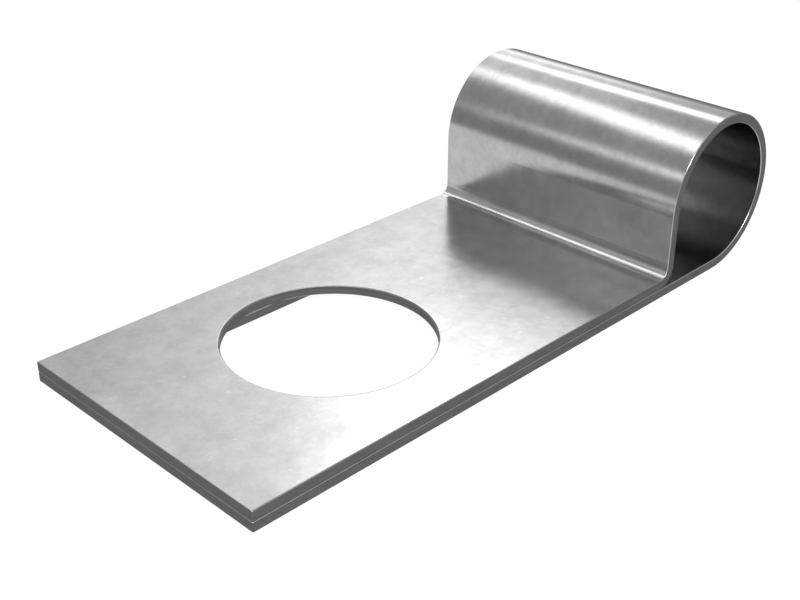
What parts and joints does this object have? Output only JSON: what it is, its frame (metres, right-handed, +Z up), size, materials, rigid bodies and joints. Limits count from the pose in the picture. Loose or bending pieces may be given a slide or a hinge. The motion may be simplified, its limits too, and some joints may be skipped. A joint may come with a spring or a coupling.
{
  "type": "tube clip",
  "caption": "Clip folded from one strip of sheet steel: a sprung loop grips a tube and a doubled flat foot with a round hole takes the fixing.",
  "frame": {"origin": "centre of the loop that grips the tube, halfway across the strip", "axes": "+Y along the tube, the doubled foot runs out along -X, +Z up from the foot's flat underside to the top of the loop"},
  "size_m": [0.0697, 0.03, 0.0168],
  "materials": {
    "strip_steel": "satin grey rolled steel strip with faint cloudy marks, duller grey sheared edges"
  },
  "bodies": {
    "root": {"clip_strip": "strip_steel"}
  },
  "joints": []
}
